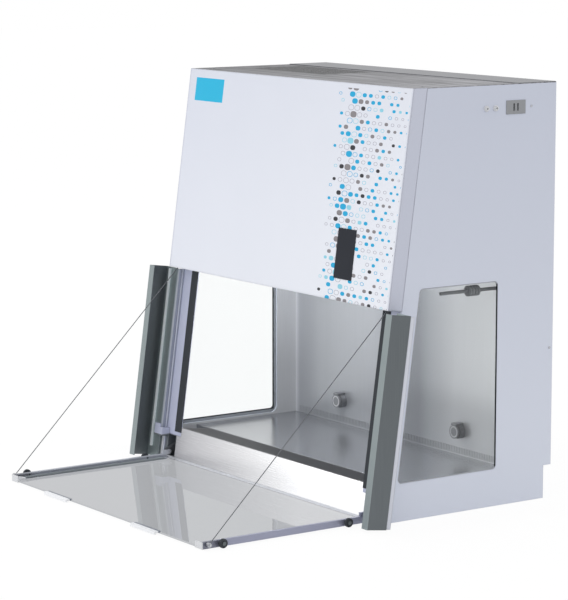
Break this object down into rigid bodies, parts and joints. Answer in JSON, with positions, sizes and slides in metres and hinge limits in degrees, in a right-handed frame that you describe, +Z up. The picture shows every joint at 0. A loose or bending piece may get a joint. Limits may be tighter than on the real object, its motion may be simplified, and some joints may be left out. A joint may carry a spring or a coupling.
{
  "type": "biological safety cabinet",
  "caption": "Biological safety cabinet with a leaning front, side windows, a fold-down glass sash and a steel chamber.",
  "frame": {"origin": "middle of the base's underside, which rests on the floor or a stand", "axes": "+X to the cabinet's right as seen from the front, +Y to its back, +Z up"},
  "size_m": [1.44, 1.391, 1.4033],
  "materials": {
    "painted_steel": "powder coat, satin",
    "stainless": "brushed",
    "dark_steel": "brushed, seen dark",
    "galvanised": "dull zinc",
    "bright_steel": "bright",
    "cast_metal": "as cast",
    "anodised": "satin anodised, grey-green",
    "clear_glass": "polished",
    "screen_glass": "polished",
    "lamp_glass": "frosted",
    "filter_frame": "mill",
    "board": "satin",
    "black_rubber": "matt",
    "dark_plastic": "fine texture",
    "grey_plastic": "fine texture",
    "white_plastic": "satin"
  },
  "bodies": {
    "cabinet": {"base_pan": "painted_steel", "back_panel": "painted_steel", "side_panel_left": "painted_steel", "side_panel_right": "painted_steel", "side_windows": "clear_glass", "window_seals": "black_rubber", "inner_back_wall": "stainless", "work_surface": "stainless", "spill_tray": "stainless", "front_grille": "dark_steel", "front_apron": "stainless", "jamb_left": "painted_steel", "jamb_right": "painted_steel", "seal_strips": "black_rubber", "hinge_pockets": "dark_steel", "hinge_blocks": "cast_metal", "hinge_pins": "bright_steel", "front_fascia": "painted_steel", "display_screen": "screen_glass", "control_board": "board", "front_header": "stainless", "lamp_tube": "lamp_glass", "ceiling_diffuser": "stainless", "supply_filter": "filter_frame", "plenum_plate": "stainless", "blower_housing": "galvanised", "blower_motor": "cast_metal", "top_panel": "stainless", "exhaust_guard": "dark_steel", "exhaust_filter": "filter_frame", "rear_cover": "stainless", "side_channel_left": "anodised", "side_channel_right": "anodised", "guide_strips": "bright_steel", "channel_bracket_left": "painted_steel", "channel_bracket_right": "painted_steel", "cable_anchors": "bright_steel", "stay_cable_left": "bright_steel", "stay_cable_right": "bright_steel", "power_outlet_left": "dark_plastic", "power_outlet_right": "dark_plastic", "airflow_probe": "dark_plastic", "probe_gland": "dark_plastic", "power_inlet": "grey_plastic", "service_ports": "white_plastic", "panel_screws": "bright_steel"},
    "sash": {"sash_glass": "clear_glass", "sash_rail_left": "anodised", "sash_rail_right": "anodised", "sash_corners": "white_plastic", "sash_grips": "white_plastic", "roller_axles": "bright_steel", "cable_pins": "bright_steel"},
    "fan_wheel": {"blower_wheel": "galvanised"},
    "roller_rear_left_body": {"roller_rear_left": "black_rubber"},
    "roller_rear_right_body": {"roller_rear_right": "black_rubber"},
    "roller_front_left_body": {"roller_front_left": "black_rubber"},
    "roller_front_right_body": {"roller_front_right": "black_rubber"},
    "outlet_cap_left_body": {"outlet_cap_left": "dark_plastic"},
    "outlet_cap_right_body": {"outlet_cap_right": "dark_plastic"}
  },
  "joints": [
    {"name": "sash_tilt", "type": "hinge", "parent": "cabinet", "child": "sash", "pos_m": [0, -0.35147, 0.029], "axis": [-1, 0, 0], "range_deg": [0, 97.8], "deforming": ["stay_cable_left", "stay_cable_right"]},
    {"name": "fan_spin", "type": "hinge", "parent": "cabinet", "child": "fan_wheel", "pos_m": [0.23, 0.04, 1.182], "axis": [1, 0, 0], "continuous": true},
    {"name": "roller_rear_left_spin", "type": "hinge", "parent": "sash", "child": "roller_rear_left_body", "pos_m": [-0.618, -0.441, 0.0155], "axis": [1, 0, 0], "continuous": true},
    {"name": "roller_rear_right_spin", "type": "hinge", "parent": "sash", "child": "roller_rear_right_body", "pos_m": [0.618, -0.441, 0.0155], "axis": [1, 0, 0], "continuous": true},
    {"name": "roller_front_left_spin", "type": "hinge", "parent": "sash", "child": "roller_front_left_body", "pos_m": [-0.618, -0.925, 0.0155], "axis": [1, 0, 0], "continuous": true},
    {"name": "roller_front_right_spin", "type": "hinge", "parent": "sash", "child": "roller_front_right_body", "pos_m": [0.618, -0.925, 0.0155], "axis": [1, 0, 0], "continuous": true},
    {"name": "outlet_cap_left_flip", "type": "hinge", "parent": "cabinet", "child": "outlet_cap_left_body", "pos_m": [-0.343, 0.21, 0.217], "axis": [-1, 0, 0], "range_deg": [0, 100], "stiffness_Nm_per_rad": 0.01, "springref_deg": -11.46},
    {"name": "outlet_cap_right_flip", "type": "hinge", "parent": "cabinet", "child": "outlet_cap_right_body", "pos_m": [0.343, 0.21, 0.217], "axis": [-1, 0, 0], "range_deg": [0, 100], "stiffness_Nm_per_rad": 0.01, "springref_deg": -11.46}
  ]
}
